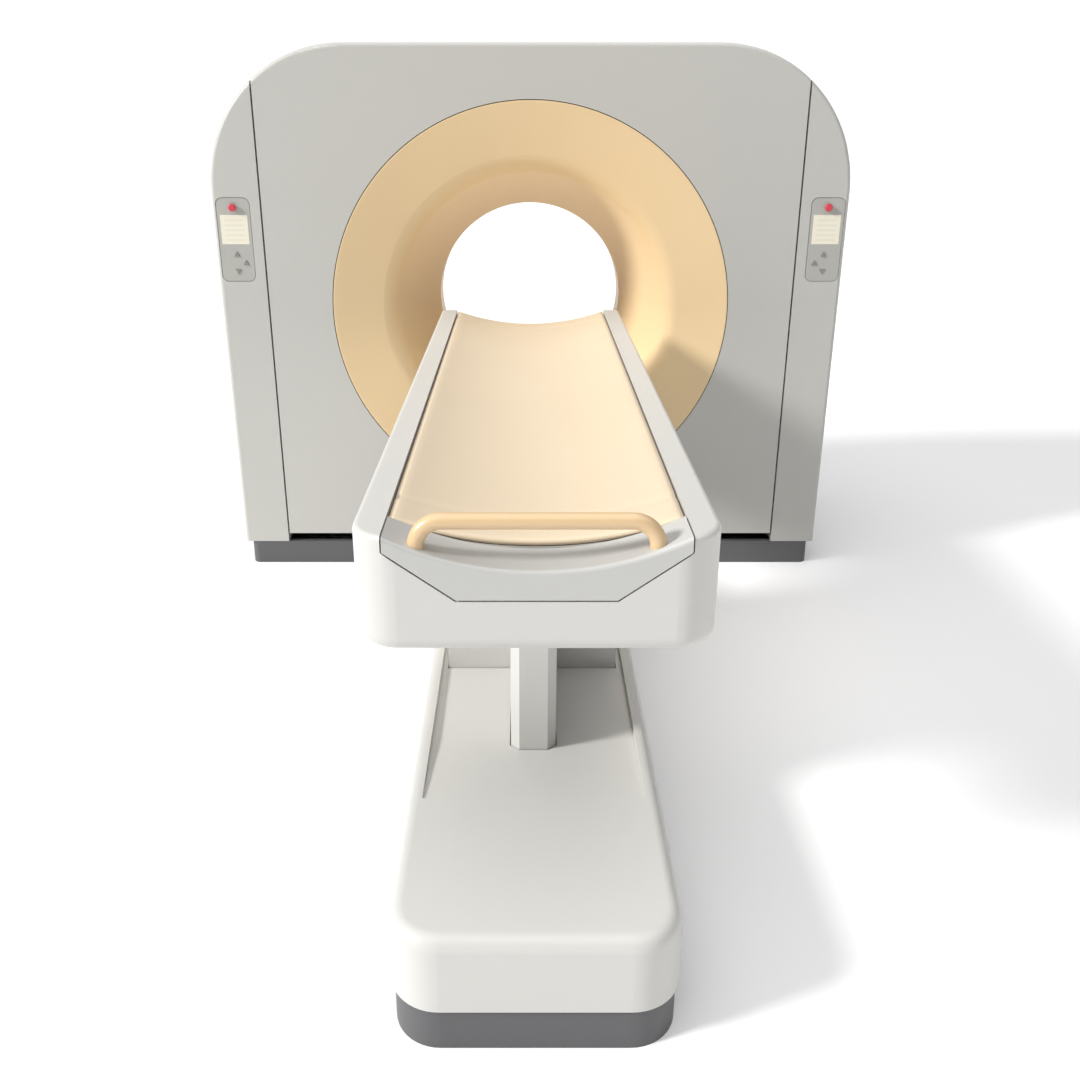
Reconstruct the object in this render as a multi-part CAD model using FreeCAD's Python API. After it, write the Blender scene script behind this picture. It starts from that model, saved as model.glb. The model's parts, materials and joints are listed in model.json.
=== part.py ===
"""CT scanner: a ring gantry that tilts between two fixed pillars, and its patient table.

Millimetres. The origin is the point on the floor straight below the isocentre, which is the
centre of the bore. +X is to the right seen from the table, +Y runs from the table through the
bore, and +Z is up.
"""
import FreeCAD
import Part
import math
import os
from FreeCAD import Vector

# ---------------------------------------------------------------- driving dimensions
# Gantry
ISO_Z = 990.0            # height of the bore's axis
BORE_R = 350.0           # patient bore
MOUTH_R = 705.0          # funnel at the front and rear faces
WINDOW_HALF = 60.0       # half length of the straight bore
GANTRY_D = 860.0         # depth, front face to rear face
GANTRY_HALF_W = 1110.0
GANTRY_TOP = 1877.0
CORNER_R = 480.0         # top corners
EDGE_R = 14.0            # rounding where the faces meet the sides and the top
SEAM_X = 940.0           # seam between the tilting centre and a fixed pillar
SEAM_GAP = 6.0
SKIN = 5.0               # moulded cover wall
PLINTH_H = 90.0
PLINTH_WALL = 25.0
PLINTH_SET_IN = 20.0     # how far the plinth stands inside the pillars' outer sides
TILT_CLEARANCE = 11.1    # between the tilted centre cover and the floor plate
FLOOR_PLATE_T = 12.0
FUNNEL_WALL = 5.0
FLARE_STEP = 141.0       # radius over the bore's where the flat flare turns into the throat
FLARE_DEPTH = 42.0       # of the flare there, from the face
FLARE_BEND_R = 80.0      # of that turn
RIM_LIP = 4.0
RIM_GROOVE = 3.0
RIM_FLANGE = 20.0
TRUNNION_R = 55.0
ANCHOR_HOLE_R = 9.0

# Rotor and its drive
ROTOR_R = 800.0
ROTOR_HOLE_STEP = 60.0   # rotor's hole over the bore
ROTOR_T = 30.0
SLIP_STEP = 75.0         # slip ring's inner radius over the rotor's hole
SLIP_W = 33.0
RACE_STEP = 2.0          # inner race's bore over the slip ring
INNER_RACE_W = 37.0
OUTER_RACE_W = 43.0
RACE_LENGTH = 58.0
FRAME_T = 30.0           # tilting frame's plate
PULLEY_R = 60.0
PULLEY_SPACE = 75.0      # between the rotor's rim and the pulley's
PULLEY_ANGLE = -42.0
BELT_T = 4.0
SHAFT_R = 14.0
MOTOR_R = 78.0
TUBE_R = 105.0
TUBE_CENTRE_R = 650.0
PACK_Y0 = -110.0         # front of the units on the rotor
DETECTOR_RADIUS = 1040.0  # detector face from the X-ray focus

# Operator panels
PANEL_X = 1038.0
PANEL_W = 116.0
PANEL_Z0 = 1097.0
PANEL_Z1 = 1382.0
PANEL_CORNER_R = 22.0
BUTTON_R = 13.0
BUTTON_Z = PANEL_Z1 - 32.0
STEM_R = 7.0
DISPLAY_Z0 = PANEL_Z0 + 128.0
DISPLAY_Z1 = PANEL_Z1 - 57.0
DISPLAY_HALF_W = 48.0
KEY_SIDE = 20.0
KEYS = {                 # place across the panel and height of each key, and whether it points up
    "up": (0.0, PANEL_Z0 + 92.0, True),
    "down": (0.0, PANEL_Z0 + 36.0, False),
    "home": (-30.0, PANEL_Z0 + 62.0, True),
}

# Pedestal and lifting column
PEDESTAL_HALF_W = 279.0
PEDESTAL_NEAR = -2683.0
PEDESTAL_FAR = -690.0
PEDESTAL_H = 260.0
PEDESTAL_CORNER_R = 100.0
PEDESTAL_EDGE_R = 28.0
PEDESTAL_SKIN = 8.0
PEDESTAL_PLINTH_H = 95.0
PLINTH_STEP = 7.0        # plinth stands this far inside the cover
PED_ANCHOR_X = 190.0
PED_ANCHOR_NEAR = PEDESTAL_NEAR + 130.0
PED_ANCHOR_FAR = PEDESTAL_FAR - 130.0
TRAY_MARGIN = 36.0       # pedestal's side left beside the tray
TRAY_DEPTH = 14.0
TRAY_NEAR = -2268.0
COLUMN_MARGIN = 18.0     # tray floor left beside the column
COLUMN_NEAR = -1683.0
COLUMN_FAR = -1010.0
NOSE_HALF_W = 53.0
NOSE_TIP = -2068.0
NOSE_CHAMFER = 20.0
COLUMN_WALL = 5.0
LIFT = 420.0             # full table lift
STAGE_SHARE = 0.42       # share of the lift that the middle stage travels
SPINDLE_R = 30.0

# Table top
TABLE_HALF_W = 315.0
TABLE_NEAR = -2574.0
TABLE_GAP = 36.0         # between the table and the front face
TABLE_TOP = 1000.0
TABLE_BOTTOM = 785.0
TABLE_CORNER_R = 78.0
TABLE_LOWER_R = 28.0
TABLE_UPPER_R = 10.0
SIDE_RAIL_W = 58.0       # table body's top, beside the cradle
CRADLE_BASE_HALF_W = 136.0
CRADLE_SHOULDER_H = 27.0 # upright part of the cradle's side
CRADLE_H = 114.0
CRADLE_SEAM = 3.0
DISH_SAG = 45.0
PAD_T = 14.0
END_BLOCK_L = 98.0
END_BLOCK_SAG = 61.0     # its dish is deeper than the cradle's
END_BLOCK_EDGE_R = 8.0
HANDLE_HALF_SPAN = 203.0
HANDLE_TUBE_R = 14.5
HANDLE_BEND_R = 45.0
HANDLE_Z = 1020.0        # centre line of the bar
HANDLE_SET_BACK = 25.0   # from the table's near end
CRADLE_STROKE = 1500.0
CARRIAGE_L = 80.0
CARRIAGE_STOP = 23.0     # left before the far wall at full stroke
RAIL_X = 85.0
RAIL_W = 20.0
RAIL_H = 18.0
BED_PLATE_T = 8.0

# Clearances
SLIDE_GAP = 0.5          # between flat faces of parts that slide on each other
RUN_GAP = 0.05           # radial, shafts in their bearings
RACE_GAP = 0.3
SEAT_GAP = 0.3           # a cover over the part that it stands on

# ---------------------------------------------------------------- worked-out places
FACE_Y = GANTRY_D / 2
SWING_R = ISO_Z - FLOOR_PLATE_T - TILT_CLEARANCE   # reach of the centre cover's lower edges
CENTRE_Z0 = round(ISO_Z - math.sqrt(SWING_R ** 2 - FACE_Y ** 2), 1)
TABLE_FAR = -FACE_Y - TABLE_GAP
ROTOR_HOLE_R = BORE_R + ROTOR_HOLE_STEP
SLIP_IN_R = ROTOR_HOLE_R + SLIP_STEP
RACE_IN_R = SLIP_IN_R + SLIP_W + RACE_STEP
RACE_MID_R = RACE_IN_R + INNER_RACE_W
RACE_OUT_R = RACE_MID_R + OUTER_RACE_W
PULLEY_DISTANCE = ROTOR_R + PULLEY_R + PULLEY_SPACE
CENTRE_HALF_W = SEAM_X - SEAM_GAP / 2
PILLAR_X = SEAM_X + SEAM_GAP / 2
ROTOR_Y0 = WINDOW_HALF + 2.0
ROTOR_Y1 = ROTOR_Y0 + ROTOR_T
RACE_Y1 = ROTOR_Y1 + RACE_LENGTH
FRAME_Y1 = RACE_Y1 + FRAME_T
STAND_X0 = PILLAR_X + 12.0
STAND_X1 = STAND_X0 + 100.0
BEARING_R = TRUNNION_R + 25.0
ANCHOR_X = (STAND_X0 + STAND_X1) / 2
ANCHOR_Y = 300.0
CHEEK_X0 = CENTRE_HALF_W - 67.0
CHEEK_X1 = CHEEK_X0 + 50.0
PANEL_FACE_Y = -FACE_Y + 1.0
TRAY_Z = PEDESTAL_H - TRAY_DEPTH
TRAY_HALF_W = PEDESTAL_HALF_W - TRAY_MARGIN
COLUMN_HALF_W = TRAY_HALF_W - COLUMN_MARGIN
CRADLE_HALF_W = TABLE_HALF_W - SIDE_RAIL_W
CRADLE_SHOULDER_Z = TABLE_TOP - CRADLE_SHOULDER_H
CRADLE_BASE_Z = TABLE_TOP - CRADLE_H
STAGE_TRAVEL = LIFT * STAGE_SHARE
STAGE_Z0 = FLOOR_PLATE_T + STAGE_TRAVEL
STAGE_Z1 = TABLE_BOTTOM - LIFT + STAGE_TRAVEL - 5.0
TOP_STAGE_Z0 = FLOOR_PLATE_T + LIFT + 8.0
BED_Z = TABLE_BOTTOM + SKIN + 1.0          # underside of the table frame
RAIL_Z1 = CRADLE_BASE_Z - 8.0
RAIL_Z0 = RAIL_Z1 - RAIL_H
CRADLE_FAR = TABLE_FAR - 2.0
BLOCK_Y1 = TABLE_NEAR + END_BLOCK_L

os.makedirs("parts", exist_ok=True)


# ---------------------------------------------------------------- helpers
def save(name, shape):
    """Write one piece, checked, to its own file."""
    shape = shape.removeSplitter()
    solids = shape.Solids
    print(f"{name:24s} solids {len(solids)}  valid {shape.isValid()}  {shape.Volume / 1e6:9.3f} litres")
    shape.exportStep(f"parts/{name}.step")


def box(x0, x1, y0, y1, z0, z1):
    return Part.makeBox(x1 - x0, y1 - y0, z1 - z0, Vector(x0, y0, z0))


def side_box(side, x0, x1, y0, y1, z0, z1):
    """A box between x0 and x1 on the right (side 1) or the left (side -1)."""
    low, high = sorted((side * x0, side * x1))
    return box(low, high, y0, y1, z0, z1)


def rod_x(r, x0, x1, y, z):
    low, high = sorted((x0, x1))
    return Part.makeCylinder(r, high - low, Vector(low, y, z), Vector(1, 0, 0))


def rod_y(r, y0, y1, x, z):
    return Part.makeCylinder(r, y1 - y0, Vector(x, y0, z), Vector(0, 1, 0))


def rod_z(r, z0, z1, x, y):
    return Part.makeCylinder(r, z1 - z0, Vector(x, y, z0), Vector(0, 0, 1))


def ring_y(r_in, r_out, y0, y1):
    """A ring about the bore's axis."""
    return rod_y(r_out, y0, y1, 0, ISO_Z).cut(rod_y(r_in, y0 - 1, y1 + 1, 0, ISO_Z))


def prism_y(points, y0, y1):
    """A prism along Y over a polygon of (x, z) points."""
    wire = Part.makePolygon([Vector(x, y0, z) for x, z in points + points[:1]])
    return Part.Face(wire).extrude(Vector(0, y1 - y0, 0))


def prism_z(points, z0, z1):
    """A prism along Z over a polygon of (x, y) points."""
    wire = Part.makePolygon([Vector(x, y, z0) for x, y in points + points[:1]])
    return Part.Face(wire).extrude(Vector(0, 0, z1 - z0))


def prism_x(points, x0, x1):
    """A prism along X over a polygon of (y, z) points."""
    wire = Part.makePolygon([Vector(x0, y, z) for y, z in points + points[:1]])
    return Part.Face(wire).extrude(Vector(x1 - x0, 0, 0))


def turned(shape, degrees):
    """Turned about the bore's axis."""
    copy = shape.copy()
    copy.rotate(Vector(0, 0, ISO_Z), Vector(0, -1, 0), degrees)
    return copy


def edges_at(shape, test):
    """Edges whose every vertex passes the test."""
    return [e for e in shape.Edges if all(test(v.Point) for v in e.Vertexes)]


def upright_edges(shape):
    return [e for e in shape.Edges
            if len(e.Vertexes) == 2 and abs(e.tangentAt(e.FirstParameter).z) > 0.999]


def rounded_block(x_half, y0, y1, z0, z1, r):
    """A block with rounded upright corners."""
    block = box(-x_half, x_half, y0, y1, z0, z1)
    return block.makeFillet(r, upright_edges(block))


# ---------------------------------------------------------------- gantry covers
def gantry_block(inset):
    """The whole gantry's outline, with round top corners, drawn in by inset on every side."""
    half = GANTRY_HALF_W - inset
    top = GANTRY_TOP - inset
    r = CORNER_R - inset
    y0 = -FACE_Y + inset
    diag = r * math.sqrt(0.5)

    def at(x, z):
        return Vector(x, y0, z)

    edges = [
        Part.LineSegment(at(-half, 0), at(-half, top - r)).toShape(),
        Part.Arc(at(-half, top - r), at(-half + r - diag, top - r + diag), at(-half + r, top)).toShape(),
        Part.LineSegment(at(-half + r, top), at(half - r, top)).toShape(),
        Part.Arc(at(half - r, top), at(half - r + diag, top - r + diag), at(half, top - r)).toShape(),
        Part.LineSegment(at(half, top - r), at(half, 0)).toShape(),
        Part.LineSegment(at(half, 0), at(-half, 0)).toShape(),
    ]
    block = Part.Face(Part.Wire(edges)).extrude(Vector(0, GANTRY_D - 2 * inset, 0))
    if inset:
        return block

    def on_face(p):
        return abs(abs(p.y) - FACE_Y) < 0.01

    rim = [e for e in edges_at(block, on_face) if max(v.Point.z for v in e.Vertexes) > 1.0]
    return block.makeFillet(EDGE_R, rim)


OUTER_BLOCK = gantry_block(0)
INNER_BLOCK = gantry_block(SKIN)


def trunnion_holes(r):
    return rod_x(r, -GANTRY_HALF_W, GANTRY_HALF_W, 0, ISO_Z)


def centre_shell():
    """The tilting centre's closed shell, before it is parted into front and rear covers."""
    outer = OUTER_BLOCK.common(box(-CENTRE_HALF_W, CENTRE_HALF_W, -FACE_Y, FACE_Y, CENTRE_Z0, GANTRY_TOP))
    half = CENTRE_HALF_W - SKIN
    inner = INNER_BLOCK.common(box(-half, half, -FACE_Y, FACE_Y, CENTRE_Z0 + SKIN, GANTRY_TOP))
    mouth_r = MOUTH_R + RIM_LIP + RIM_GROOVE
    mouth = rod_y(mouth_r, -FACE_Y - 1, FACE_Y + 1, 0, ISO_Z)
    return outer.cut(inner).cut(mouth).cut(trunnion_holes(TRUNNION_R + 7))


def make_centre_covers():
    shell = centre_shell()
    parting = SLIDE_GAP / 2
    w = GANTRY_HALF_W
    save("front_cover", shell.common(box(-w, w, -FACE_Y - 1, -parting, 0, GANTRY_TOP + 1)))
    save("rear_cover", shell.common(box(-w, w, parting, FACE_Y + 1, 0, GANTRY_TOP + 1)))


def panel_outline(grow, y0, y1, side):
    """The operator panel's rounded outline, grown on every side."""
    half = PANEL_W / 2 + grow
    block = box(-half, half, y0, y1, PANEL_Z0 - grow, PANEL_Z1 + grow)
    corners = [e for e in block.Edges if abs(e.tangentAt(e.FirstParameter).y) > 0.999]
    block = block.makeFillet(PANEL_CORNER_R + grow, corners)
    block.translate(Vector(side * PANEL_X, 0, 0))
    return block


def make_pillar_cover(name, side):
    top = GANTRY_TOP + 1
    z0 = PLINTH_H + SEAT_GAP
    outer = OUTER_BLOCK.common(side_box(side, PILLAR_X, GANTRY_HALF_W + 1, -FACE_Y, FACE_Y, z0, top))
    inner = INNER_BLOCK.common(side_box(side, PILLAR_X + SKIN, GANTRY_HALF_W, -FACE_Y, FACE_Y, 0, top))
    window = panel_outline(2.0, -FACE_Y - 1, -FACE_Y + SKIN + 1, side)
    hole = rod_x(TRUNNION_R + 7, side * (PILLAR_X - 1), side * (PILLAR_X + SKIN + 1), 0, ISO_Z)
    save(name, outer.cut(inner).cut(window).cut(hole))


def bend(before, corner, after, radius):
    """Both ends and the middle of the arc that rounds a corner between two straight lines."""
    back, on = before.sub(corner).normalize(), after.sub(corner).normalize()
    half = back.getAngle(on) / 2
    reach = radius / math.tan(half)
    towards = back.add(on).normalize()
    middle = corner.add(towards.multiply(radius / math.sin(half) - radius))
    return corner.add(back.multiply(reach)), middle, corner.add(on.multiply(reach))


def make_funnel(name, side):
    """A funnel with a flat flare, a steep throat, a lip at its rim and a flange behind the cover."""
    y_rim, y_bore = -FACE_Y, -WINDOW_HALF
    w = FUNNEL_WALL

    def at(r, y):
        return Vector(r, y, ISO_Z)

    flange_y = y_rim + SKIN
    corners = [
        at(BORE_R, y_bore), at(BORE_R + w, y_bore), at(MOUTH_R + RIM_LIP, flange_y + 4),
        at(MOUTH_R + RIM_LIP + RIM_FLANGE, flange_y + 4), at(MOUTH_R + RIM_LIP + RIM_FLANGE, flange_y),
        at(MOUTH_R + RIM_LIP, flange_y), at(MOUTH_R + RIM_LIP, y_rim), at(MOUTH_R, y_rim),
    ]
    turn = at(BORE_R + FLARE_STEP, y_rim + FLARE_DEPTH)
    lean = (corners[7].sub(turn).getAngle(corners[0].sub(turn))) / 2
    out_of_air = corners[7].sub(turn).normalize().add(corners[0].sub(turn).normalize()).normalize()
    back_turn = turn.add(out_of_air.multiply(w / math.sin(lean)))
    air_arc = bend(corners[7], turn, corners[0], FLARE_BEND_R)
    back_arc = bend(corners[1], back_turn, corners[2], FLARE_BEND_R - w)
    edges = [Part.LineSegment(corners[0], corners[1]).toShape(),
             Part.LineSegment(corners[1], back_arc[0]).toShape(),
             Part.Arc(*back_arc).toShape(),
             Part.LineSegment(back_arc[2], corners[2]).toShape()]
    edges += [Part.LineSegment(a, b).toShape() for a, b in zip(corners[2:7], corners[3:8])]
    edges += [Part.LineSegment(corners[7], air_arc[0]).toShape(),
              Part.Arc(*air_arc).toShape(),
              Part.LineSegment(air_arc[2], corners[0]).toShape()]
    profile = Part.Face(Part.Wire(edges))
    solid = profile.revolve(Vector(0, 0, ISO_Z), Vector(0, 1, 0), 360)
    if side > 0:
        solid.rotate(Vector(0, 0, ISO_Z), Vector(0, 0, 1), 180)
    save(name, solid)


# ---------------------------------------------------------------- fixed base of the gantry
def make_base_frame():
    """Floor plate with a stand on each side that holds a trunnion bearing."""
    half = GANTRY_HALF_W - PLINTH_SET_IN - PLINTH_WALL - SEAT_GAP
    depth = FACE_Y - PLINTH_WALL - SEAT_GAP
    frame = box(-half, half, -depth, depth, 0, FLOOR_PLATE_T)
    top = ISO_Z + BEARING_R + 45
    for side in (1, -1):
        stand = side_box(side, STAND_X0, STAND_X0 + 14, -150, 150, 0, top)
        for y in (-150, 138):
            stand = stand.fuse(side_box(side, STAND_X0, STAND_X1, y, y + 12, 0, top))
        stand = stand.fuse(side_box(side, STAND_X0, STAND_X1, -138, 138, top - 12, top))
        stand = stand.fuse(rod_x(BEARING_R + 30, side * STAND_X0, side * STAND_X1, 0, ISO_Z))
        for z in (300, 600):
            stand = stand.fuse(side_box(side, STAND_X0, STAND_X1, -138, 138, z, z + 10))
        stand = stand.cut(rod_x(BEARING_R, side * (STAND_X0 - 1), side * (STAND_X1 + 1), 0, ISO_Z))
        frame = frame.fuse(stand)
    for x in (-ANCHOR_X, ANCHOR_X):
        for y in (-ANCHOR_Y, ANCHOR_Y):
            frame = frame.cut(rod_z(ANCHOR_HOLE_R, -1, FLOOR_PLATE_T + 1, x, y))
    save("base_frame", frame)


def make_gantry_plinth():
    half = GANTRY_HALF_W - PLINTH_SET_IN
    outer = rounded_block(half, -FACE_Y, FACE_Y, 0, PLINTH_H, 30.0)
    inner_half = half - PLINTH_WALL
    inner = box(-inner_half, inner_half, -FACE_Y + PLINTH_WALL, FACE_Y - PLINTH_WALL, -1, PLINTH_H + 1)
    save("gantry_plinth", outer.cut(inner))


def make_trunnion_bearings():
    bearings = []
    for side in (1, -1):
        ring = rod_x(BEARING_R, side * STAND_X0, side * STAND_X1, 0, ISO_Z)
        bearings.append(ring.cut(rod_x(TRUNNION_R + RUN_GAP, side * (STAND_X0 - 1), side * (STAND_X1 + 1),
                                       0, ISO_Z)))
    save("trunnion_bearings", Part.makeCompound(bearings))


def make_tilt_gearmotor():
    """Flat gearmotor on the outside of the left stand, round the trunnion's end."""
    x0, x1 = -STAND_X1, -STAND_X1 - 42
    body = rod_x(BEARING_R + 30, x0, x1, 0, ISO_Z)
    body = body.fuse(box(x1, x0, -60, 60, ISO_Z - 330, ISO_Z - 60))
    body = body.cut(rod_x(TRUNNION_R + RUN_GAP, x0 + 1, x1 + 8, 0, ISO_Z))
    save("tilt_gearmotor", body)


# ---------------------------------------------------------------- tilting frame and bearing
def pulley_centre():
    a = math.radians(PULLEY_ANGLE)
    return PULLEY_DISTANCE * math.cos(a), ISO_Z + PULLEY_DISTANCE * math.sin(a)


def make_tilt_frame():
    """Ring-shaped plate behind the rotor, with a cheek on each side for its trunnion."""
    half = CENTRE_HALF_W - SKIN - 42
    plate = INNER_BLOCK.common(box(-half, half, RACE_Y1, FRAME_Y1, CENTRE_Z0 + 80, GANTRY_TOP - 100))
    frame = plate.cut(rod_y(RACE_MID_R + 5, RACE_Y1 - 1, FRAME_Y1 + 1, 0, ISO_Z))
    pad_x = CENTRE_HALF_W - SKIN - SEAT_GAP
    for side in (1, -1):
        frame = frame.fuse(side_box(side, CHEEK_X0, CHEEK_X1, -110, FRAME_Y1, ISO_Z - 170, ISO_Z + 170))
        for y in (-100, 100):
            for z in (ISO_Z - 160, ISO_Z + 120):
                frame = frame.fuse(side_box(side, CHEEK_X1 - 1, pad_x, y, y + 40, z, z + 40))
    frame = frame.cut(trunnion_holes(TRUNNION_R))
    x, z = pulley_centre()
    frame = frame.cut(rod_y(SHAFT_R + 6, RACE_Y1 - 1, FRAME_Y1 + 1, x, z))
    save("tilt_frame", frame)


def make_trunnions():
    pins = [rod_x(TRUNNION_R, side * CHEEK_X0, side * (STAND_X1 + 30), 0, ISO_Z) for side in (1, -1)]
    save("trunnions", Part.makeCompound(pins))


def make_main_bearing():
    save("bearing_outer_race", ring_y(RACE_MID_R + RACE_GAP, RACE_OUT_R, ROTOR_Y1 + 8, RACE_Y1))
    save("bearing_inner_race", ring_y(RACE_IN_R, RACE_MID_R, ROTOR_Y1, RACE_Y1 - 8))


def make_slip_ring():
    y1 = RACE_Y1 - 10
    ring = ring_y(SLIP_IN_R, SLIP_IN_R + SLIP_W, ROTOR_Y1, y1)
    for i in range(3):
        track_y = ROTOR_Y1 + 10 + 12 * i
        ring = ring.cut(ring_y(SLIP_IN_R - 1, SLIP_IN_R + 3, track_y, track_y + 6))
    save("slip_ring", ring)



def make_brush_block():
    """Brush carrier on the back of the tilting frame, reaching to the slip ring's end."""
    low = ISO_Z + SLIP_IN_R
    foot = box(-55, 55, FRAME_Y1, FRAME_Y1 + 20, low, low + 160)
    head = box(-45, 45, RACE_Y1 - 10 + SLIDE_GAP, FRAME_Y1, low + 2, low + 30)
    save("brush_block", foot.fuse(head))


def make_rotor_drive():
    x, z = pulley_centre()
    motor = rod_y(MOTOR_R, FRAME_Y1, FRAME_Y1 + 150, x, z)
    for i in range(12):
        fin = box(-3, 3, FRAME_Y1 + 25, FRAME_Y1 + 140, MOTOR_R - 6, MOTOR_R + 12)
        fin.rotate(Vector(0, 0, 0), Vector(0, 1, 0), 30 * i)
        fin.translate(Vector(x, 0, z))
        motor = motor.fuse(fin)
    motor = motor.cut(rod_y(SHAFT_R + RUN_GAP, FRAME_Y1 - 1, FRAME_Y1 + 60, x, z))
    save("drive_motor", motor)

    pulley = rod_y(PULLEY_R, ROTOR_Y0, ROTOR_Y1, x, z)
    pulley = pulley.cut(ring_at(PULLEY_R - 14, 26.0, ROTOR_Y0 - 1, ROTOR_Y0 + 8, x, z))
    pulley = pulley.fuse(rod_y(SHAFT_R, ROTOR_Y0, FRAME_Y1 + 50, x, z))
    save("drive_pulley", pulley)

    y0, y1 = ROTOR_Y0 + 2, ROTOR_Y1 - 2
    outer = loop_round(ROTOR_R + RACE_GAP + BELT_T, PULLEY_R + RACE_GAP + BELT_T, y0, y1)
    save("drive_belt", outer.cut(loop_round(ROTOR_R + RACE_GAP, PULLEY_R + RACE_GAP, y0 - 1, y1 + 1)))


def ring_at(r_out, r_in, y0, y1, x, z):
    return rod_y(r_out, y0, y1, x, z).cut(rod_y(r_in, y0 - 1, y1 + 1, x, z))


def loop_round(big_r, small_r, y0, y1):
    """The solid inside a belt that runs round the rotor's rim and the drive pulley."""
    lean = math.acos((big_r - small_r) / PULLEY_DISTANCE)
    touch = []
    for sign, r, distance in ((1, big_r, 0), (1, small_r, PULLEY_DISTANCE),
                              (-1, small_r, PULLEY_DISTANCE), (-1, big_r, 0)):
        touch.append((distance + r * math.cos(lean), ISO_Z + sign * r * math.sin(lean)))
    body = prism_y(touch, y0, y1)
    body = body.fuse(rod_y(big_r, y0, y1, 0, ISO_Z)).fuse(rod_y(small_r, y0, y1, PULLEY_DISTANCE, ISO_Z))
    return turned(body.removeSplitter(), PULLEY_ANGLE)


# ---------------------------------------------------------------- rotor
def rotor_box(angle, r0, r1, half_w, y0=PACK_Y0):
    """A box on the rotor plate's front, between radii r0 and r1, turned to an angle from the top."""
    block = box(-half_w, half_w, y0, ROTOR_Y0, ISO_Z + r0, ISO_Z + r1)
    rim = [e for e in block.Edges if abs(e.tangentAt(e.FirstParameter).y) > 0.999]
    return block.makeFillet(12.0, rim), angle


def make_rotor_ring():
    plate = ring_y(ROTOR_HOLE_R, ROTOR_R, ROTOR_Y0, ROTOR_Y1)
    for i in range(12):
        hole = rod_y(34.0, ROTOR_Y0 - 1, ROTOR_Y1 + 1, 0, ISO_Z + 700)
        plate = plate.cut(turned(hole, 15 + 30 * i))
    save("rotor_ring", plate)


def make_xray_tube():
    z = ISO_Z + TUBE_CENTRE_R
    tube = rod_y(TUBE_R, PACK_Y0, ROTOR_Y0, 0, z)
    for i in range(3):
        y = PACK_Y0 + 30 + 40 * i
        tube = tube.cut(ring_at(TUBE_R + 1, TUBE_R - 8, y, y + 10, 0, z))
    save("xray_tube", tube)
    block = box(-75, 75, -50, 50, z - TUBE_R - 70, z - TUBE_R + 30)
    block = block.cut(rod_y(TUBE_R, PACK_Y0, ROTOR_Y0, 0, z))
    slit = box(-60, 60, -10, 10, z - TUBE_R - 71, z)
    save("tube_collimator", block.cut(slit))


def make_rotor_packs():
    generator, angle = rotor_box(90, 560, 740, 170)
    save("xray_generator", turned(generator, angle))
    cooler, angle = rotor_box(-48, 560, 730, 120)
    for i in range(8):
        x = -98 + 26 * i
        cooler = cooler.cut(box(x, x + 12, PACK_Y0 - 1, PACK_Y0 + 60, ISO_Z + 580, ISO_Z + 710))
    save("heat_exchanger", turned(cooler, angle))
    unit, angle = rotor_box(-100, 560, 730, 140)
    save("data_unit", turned(unit, angle))
    weight, angle = rotor_box(126, 668, 775, 85, y0=-40)
    save("counterweight", turned(weight, angle))


def make_detector():
    """Detector arc facing the X-ray focus, with its module slots on the outside."""
    focus_z = ISO_Z + TUBE_CENTRE_R - TUBE_R + 15
    fan = 26.0

    def sector(r_in, r_out, y0, y1, half_angle):
        ring = rod_y(r_out, y0, y1, 0, focus_z).cut(rod_y(r_in, y0 - 1, y1 + 1, 0, focus_z))
        reach = 2 * r_out
        a = math.radians(half_angle)
        wedge = prism_y([(0, focus_z), (-reach * math.sin(a), focus_z - reach * math.cos(a)),
                         (reach * math.sin(a), focus_z - reach * math.cos(a))], y0 - 1, y1 + 1)
        return ring.common(wedge)

    arc = sector(DETECTOR_RADIUS, DETECTOR_RADIUS + 70, -75, ROTOR_Y0, fan)
    save("detector_arc", arc.cut(sector(DETECTOR_RADIUS - 1, DETECTOR_RADIUS + 12, -50, 40, fan - 2)))


# ---------------------------------------------------------------- operator panels
def key_triangle(side, dx, z, up, grow, y0, y1):
    """A three-sided key, pointing up or down."""
    r = KEY_SIDE / math.sqrt(3) + grow * 2
    tip = 90 if up else -90
    points = []
    for i in range(3):
        a = math.radians(tip + 120 * i)
        points.append((side * (PANEL_X + dx) + r * math.cos(a), z + r * math.sin(a)))
    return prism_y(points, y0, y1)


def make_panel(word, side):
    face, back = PANEL_FACE_Y, -FACE_Y + SKIN
    plate = panel_outline(0.0, face, back, side).fuse(panel_outline(8.0, back, back + 4, side))
    x = side * PANEL_X
    pocket = box(x - DISPLAY_HALF_W, x + DISPLAY_HALF_W, face - 1, face + 1.5, DISPLAY_Z0, DISPLAY_Z1)
    plate = plate.cut(pocket).cut(rod_y(STEM_R + RACE_GAP, face - 1, back + 9, x, BUTTON_Z))
    for dx, z, up in KEYS.values():
        plate = plate.cut(key_triangle(side, dx, z, up, RACE_GAP, face - 1, back + 9))
    save(f"panel_{word}", plate)

    screen = box(x - DISPLAY_HALF_W, x + DISPLAY_HALF_W, face - 0.5, face + 1.5, DISPLAY_Z0, DISPLAY_Z1)
    save(f"display_{word}", screen)

    cap = rod_y(BUTTON_R, face - 13, face - 5, x, BUTTON_Z)
    cap = cap.makeFillet(3.0, edges_at(cap, lambda p: abs(p.y - (face - 13)) < 0.01))
    save(f"stop_button_{word}", cap.fuse(rod_y(STEM_R, face - 5, back + 8, x, BUTTON_Z)))
    for key, (dx, z, up) in KEYS.items():
        save(f"{key}_key_{word}", key_triangle(side, dx, z, up, 0.0, face - 2.5, back + 7))


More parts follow.
